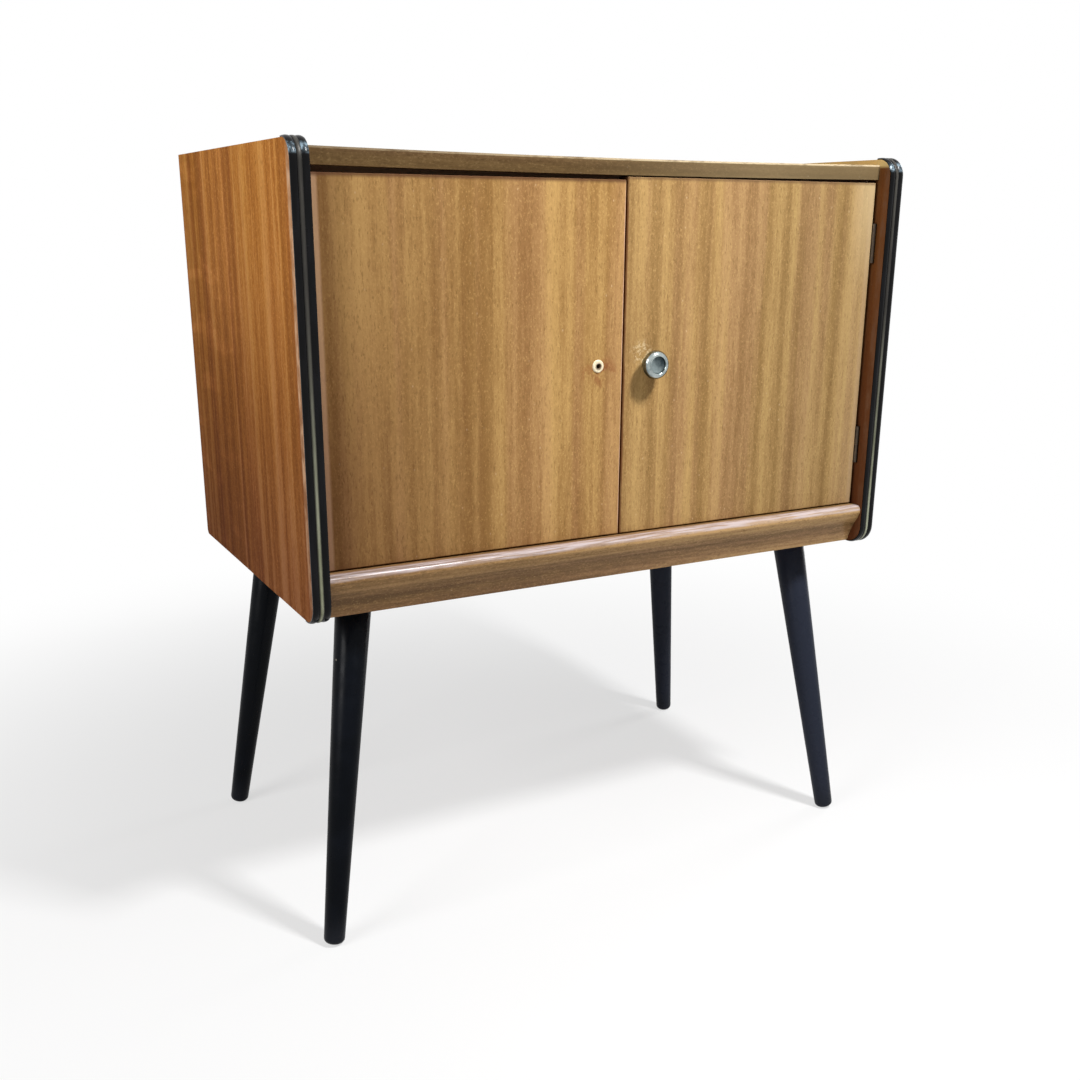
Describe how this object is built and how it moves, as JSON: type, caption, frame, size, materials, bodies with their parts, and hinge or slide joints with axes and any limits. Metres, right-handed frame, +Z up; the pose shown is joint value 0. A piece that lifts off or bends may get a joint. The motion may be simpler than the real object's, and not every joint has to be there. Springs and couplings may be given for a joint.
{
  "type": "record cabinet",
  "caption": "Low cabinet on slanted round legs with two hinged doors, a ring pull, a lock and rounded ribbed mouldings on the front edges of its sides; holds records on edge.",
  "frame": {"origin": "centre of the footprint, on the floor", "axes": "+Z up, +Y towards the back, so the doors face -Y, +X to the right seen from the front"},
  "size_m": [0.656, 0.393, 0.7539],
  "materials": {
    "side_veneer": "reddish-brown ribbon-striped veneer, satin lacquer",
    "top_veneer": "golden-brown veneer, satin lacquer",
    "door_veneer": "golden-brown ribbon-striped veneer, satin lacquer",
    "rail_veneer": "brown veneer with its grain lengthways, glossy lacquer",
    "black_moulding": "black, glossy",
    "gold_bead": "dulled gold, half matt",
    "batten_wood": "plain softwood, planed",
    "floor_board": "brown stained board, satin",
    "hardboard": "brown hardboard, smooth face",
    "black_lacquered_leg": "black lacquer, glossy",
    "zinc_plated_steel": "zinc plated",
    "hinge_steel": "bright, dulled with age",
    "lock_steel": "bright, dulled with age",
    "slide_bolt_steel": "nickel plated",
    "cream_plastic": "cream, half matt",
    "knob_chrome": "polished",
    "knob_insert_metal": "grey-green, half matt"
  },
  "bodies": {
    "carcass": {"side_panel_left": "side_veneer", "side_panel_right": "side_veneer", "edge_moulding_left": "black_moulding", "edge_moulding_right": "black_moulding", "gold_bead_left": "gold_bead", "gold_bead_right": "gold_bead", "leg_batten_left": "batten_wood", "leg_batten_right": "batten_wood", "top_panel": "top_veneer", "stop_batten": "batten_wood", "front_rail": "rail_veneer", "floor_panel": "floor_board", "back_panel": "hardboard", "loose_tongues": "batten_wood", "divider_rack": "batten_wood", "record_divider_1": "hardboard", "record_divider_2": "hardboard", "record_divider_3": "hardboard", "record_divider_4": "hardboard", "record_divider_5": "hardboard", "legs": "black_lacquered_leg", "leg_plate_front_left": "zinc_plated_steel", "leg_plate_front_right": "zinc_plated_steel", "leg_plate_back_left": "zinc_plated_steel", "leg_plate_back_right": "zinc_plated_steel", "hinge_side_leaf_lower_left": "hinge_steel", "hinge_side_leaf_lower_right": "hinge_steel", "hinge_side_leaf_upper_left": "hinge_steel", "hinge_side_leaf_upper_right": "hinge_steel", "hinge_pins": "hinge_steel"},
    "left_door": {"door_left": "door_veneer", "hinge_door_leaf_lower_left": "hinge_steel", "hinge_door_leaf_upper_left": "hinge_steel", "lock_case": "lock_steel", "lock_cap": "lock_steel", "key_bush": "cream_plastic"},
    "right_door": {"door_right": "door_veneer", "hinge_door_leaf_lower_right": "hinge_steel", "hinge_door_leaf_upper_right": "hinge_steel", "lock_strike": "lock_steel", "knob": "knob_chrome", "knob_insert": "knob_insert_metal", "slide_plate_upper": "slide_bolt_steel", "slide_plate_lower": "slide_bolt_steel"},
    "lock_bolt": {"lock_bolt": "lock_steel"},
    "upper_slide_bolt": {"slide_bar_upper": "slide_bolt_steel"},
    "lower_slide_bolt": {"slide_bar_lower": "slide_bolt_steel"}
  },
  "joints": [
    {"name": "left_door_hinge", "type": "hinge", "parent": "carcass", "child": "left_door", "pos_m": [-0.3093, -0.17835, 0.561], "axis": [0, 0, -1], "range_deg": [0, 95]},
    {"name": "right_door_hinge", "type": "hinge", "parent": "carcass", "child": "right_door", "pos_m": [0.3093, -0.17835, 0.561], "axis": [0, 0, 1], "range_deg": [0, 95]},
    {"name": "lock_bolt_throw", "type": "slide", "parent": "left_door", "child": "lock_bolt", "axis": [1, 0, 0], "range_m": [0, 0.008]},
    {"name": "upper_slide_bolt_throw", "type": "slide", "parent": "right_door", "child": "upper_slide_bolt", "axis": [0, 0, 1], "range_m": [0, 0.008]},
    {"name": "lower_slide_bolt_throw", "type": "slide", "parent": "right_door", "child": "lower_slide_bolt", "axis": [0, 0, -1], "range_m": [0, 0.008]}
  ]
}
